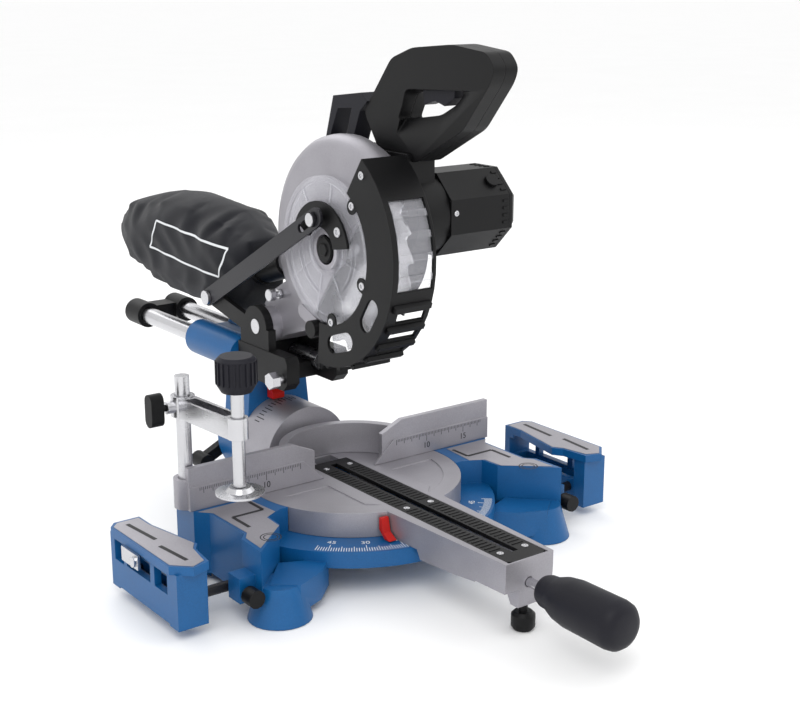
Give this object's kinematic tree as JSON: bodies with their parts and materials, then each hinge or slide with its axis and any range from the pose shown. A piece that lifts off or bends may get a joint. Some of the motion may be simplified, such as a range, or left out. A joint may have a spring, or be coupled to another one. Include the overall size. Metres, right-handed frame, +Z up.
{
  "type": "sliding compound mitre saw",
  "caption": "Benchtop sliding compound mitre saw with turntable, fence, work clamp, side extensions, blade guards, motor, grip handle and dust bag.",
  "frame": {"origin": "centre of the bottom of the object's box, on the floor", "axes": "+X to the user's right, +Y to the rear, +Z up"},
  "size_m": [0.5366, 0.866, 0.5027],
  "materials": {
    "blue_paint": "satin",
    "cast_aluminium": "satin",
    "steel": "brushed",
    "black_plastic": "matte",
    "dark_steel": "satin",
    "red_plastic": "gloss",
    "clear_plastic": "clear",
    "fabric": "woven",
    "soft_grip": "matte"
  },
  "bodies": {
    "base": {"base_casting": "blue_paint", "fence": "cast_aluminium", "mitre_pivot_bolt": "steel"},
    "left_lock": {"left_extension_lock": "black_plastic"},
    "right_lock": {"right_extension_lock": "black_plastic"},
    "left_extension": {"left_extension_frame": "blue_paint", "left_extension_rod": "dark_steel"},
    "right_extension": {"right_extension_frame": "blue_paint", "right_extension_rod": "dark_steel"},
    "left_clip": {"left_stop_clip": "steel"},
    "right_clip": {"right_stop_clip": "steel"},
    "clamp_post": {"clamp_post": "steel"},
    "clamp_arm": {"clamp_arm": "steel"},
    "clamp_wing": {"clamp_wing_screw": "black_plastic"},
    "clamp_screw": {"clamp_spindle": "steel", "clamp_knob": "soft_grip", "clamp_pad": "steel"},
    "turntable": {"turntable": "cast_aluminium", "table_insert": "black_plastic", "mitre_pointer": "red_plastic", "bevel_pivot_bolt": "steel"},
    "mitre_lock": {"mitre_lock_spindle": "steel", "mitre_lock_grip": "soft_grip"},
    "front_foot": {"adjustable_foot": "black_plastic"},
    "tilt": {"tilting_arm": "blue_paint", "bevel_pointer": "red_plastic"},
    "bevel_lever": {"bevel_lock_lever": "black_plastic"},
    "carriage": {"pivot_bracket": "black_plastic", "left_rail": "steel", "right_rail": "steel", "rail_tie_bar": "black_plastic", "pivot_shaft": "steel", "link_bolt": "steel"},
    "carriage_lock": {"carriage_lock_screw": "steel"},
    "link": {"guard_link": "dark_steel"},
    "head": {"head_casting": "cast_aluminium", "gear_housing": "black_plastic", "motor_housing": "black_plastic", "motor_end_cap": "black_plastic", "motor_stator": "dark_steel", "upper_brush_cap": "black_plastic", "handle_left_half": "black_plastic", "handle_right_half": "black_plastic", "carry_handle": "soft_grip", "switch_module": "dark_steel", "dust_port": "black_plastic", "dust_bag": "fabric", "guard_stop_roller": "black_plastic"},
    "trigger": {"trigger": "soft_grip"},
    "lock_off": {"lock_off_button": "soft_grip"},
    "spindle": {"saw_blade": "steel", "arbor": "steel", "outer_flange": "steel", "arbor_bolt": "steel", "driven_gear": "steel"},
    "armature": {"motor_armature": "dark_steel"},
    "lower_guard": {"guard_disc": "clear_plastic", "guard_cover": "black_plastic", "guard_window": "clear_plastic", "guard_crescent": "black_plastic"}
  },
  "joints": [
    {"name": "left_lock_turn", "type": "hinge", "parent": "base", "child": "left_lock", "pos_m": [-0.192, -0.147, 0.03], "axis": [0, 1, 0], "range_deg": [0, 270]},
    {"name": "left_extension_slide", "type": "slide", "parent": "base", "child": "left_extension", "axis": [-1, 0, 0], "range_m": [-0.028, 0.06]},
    {"name": "left_clip_flip", "type": "hinge", "parent": "left_extension", "child": "left_clip", "pos_m": [-0.262, -0.082, 0.055], "axis": [1, 0, 0], "range_deg": [0, 90]},
    {"name": "right_lock_turn", "type": "hinge", "parent": "base", "child": "right_lock", "pos_m": [0.192, -0.147, 0.03], "axis": [0, 1, 0], "range_deg": [0, 270]},
    {"name": "right_extension_slide", "type": "slide", "parent": "base", "child": "right_extension", "axis": [1, 0, 0], "range_m": [-0.028, 0.06]},
    {"name": "right_clip_flip", "type": "hinge", "parent": "right_extension", "child": "right_clip", "pos_m": [0.262, -0.082, 0.055], "axis": [1, 0, 0], "range_deg": [0, 90]},
    {"name": "clamp_swing", "type": "hinge", "parent": "base", "child": "clamp_post", "pos_m": [-0.18, -0.025, 0.1], "axis": [0, 0, 1], "range_deg": [-15, 60]},
    {"name": "clamp_height", "type": "slide", "parent": "clamp_post", "child": "clamp_arm", "axis": [0, 0, 1], "range_m": [-0.02, 0.01]},
    {"name": "clamp_wing_turn", "type": "hinge", "parent": "clamp_arm", "child": "clamp_wing", "pos_m": [-0.205, -0.025, 0.172], "axis": [1, 0, 0], "range_deg": [0, 90]},
    {"name": "clamp_press", "type": "slide", "parent": "clamp_arm", "child": "clamp_screw", "axis": [0, 0, 1], "range_m": [-0.015, 0.02]},
    {"name": "mitre", "type": "hinge", "parent": "base", "child": "turntable", "pos_m": [0, -0.047, 0.05], "axis": [0, 0, 1], "range_deg": [-45, 45]},
    {"name": "mitre_lock_turn", "type": "hinge", "parent": "turntable", "child": "mitre_lock", "pos_m": [0, -0.387, 0.047], "axis": [0, 1, 0], "range_deg": [0, 90]},
    {"name": "foot_adjust", "type": "slide", "parent": "turntable", "child": "front_foot", "axis": [0, 0, 1], "range_m": [0, 0.004]},
    {"name": "bevel", "type": "hinge", "parent": "turntable", "child": "tilt", "pos_m": [0, 0.093, 0.07], "axis": [0, 1, 0], "range_deg": [-30, 0]},
    {"name": "bevel_lever_turn", "type": "hinge", "parent": "tilt", "child": "bevel_lever", "pos_m": [0, 0.153, 0.07], "axis": [0, 1, 0], "range_deg": [0, 40]},
    {"name": "carriage_slide", "type": "slide", "parent": "tilt", "child": "carriage", "axis": [0, -1, 0], "range_m": [0, 0.12]},
    {"name": "carriage_lock_turn", "type": "hinge", "parent": "carriage", "child": "carriage_lock", "pos_m": [-0.05, 0.024, 0.161], "axis": [1, 0, 0], "range_deg": [0, 90]},
    {"name": "chop", "type": "hinge", "parent": "carriage", "child": "head", "pos_m": [0, 0.077, 0.206], "axis": [1, 0, 0], "range_deg": [0, 54], "stiffness_Nm_per_rad": 9, "springref_deg": -91.67},
    {"name": "link_swing", "type": "hinge", "parent": "carriage", "child": "link", "pos_m": [0, 0.168, 0.221], "axis": [1, 0, 0], "range_deg": [0, 42]},
    {"name": "guard_open", "type": "hinge", "parent": "head", "child": "lower_guard", "pos_m": [0, -0.041, 0.305], "axis": [-1, 0, 0], "range_deg": [0, 131]},
    {"name": "blade_spin", "type": "hinge", "parent": "head", "child": "spindle", "pos_m": [0, -0.041, 0.305], "axis": [1, 0, 0], "continuous": true},
    {"name": "armature_spin", "type": "hinge", "parent": "head", "child": "armature", "pos_m": [0, -0.085, 0.338], "axis": [1, 0, 0], "continuous": true},
    {"name": "trigger_pull", "type": "slide", "parent": "head", "child": "trigger", "axis": [0, 0, 1], "range_m": [0, 0.005], "stiffness_N_per_m": 800, "springref_m": -0.002},
    {"name": "lock_off_push", "type": "slide", "parent": "head", "child": "lock_off", "axis": [-1, 0, 0], "range_m": [0, 0.003], "stiffness_N_per_m": 400, "springref_m": -0.001}
  ],
  "couplings": [
    {"joint": "guard_open", "follows": "chop", "ratio": 2.4},
    {"joint": "link_swing", "follows": "chop", "ratio": 0.76},
    {"joint": "armature_spin", "follows": "blade_spin", "ratio": -4}
  ]
}
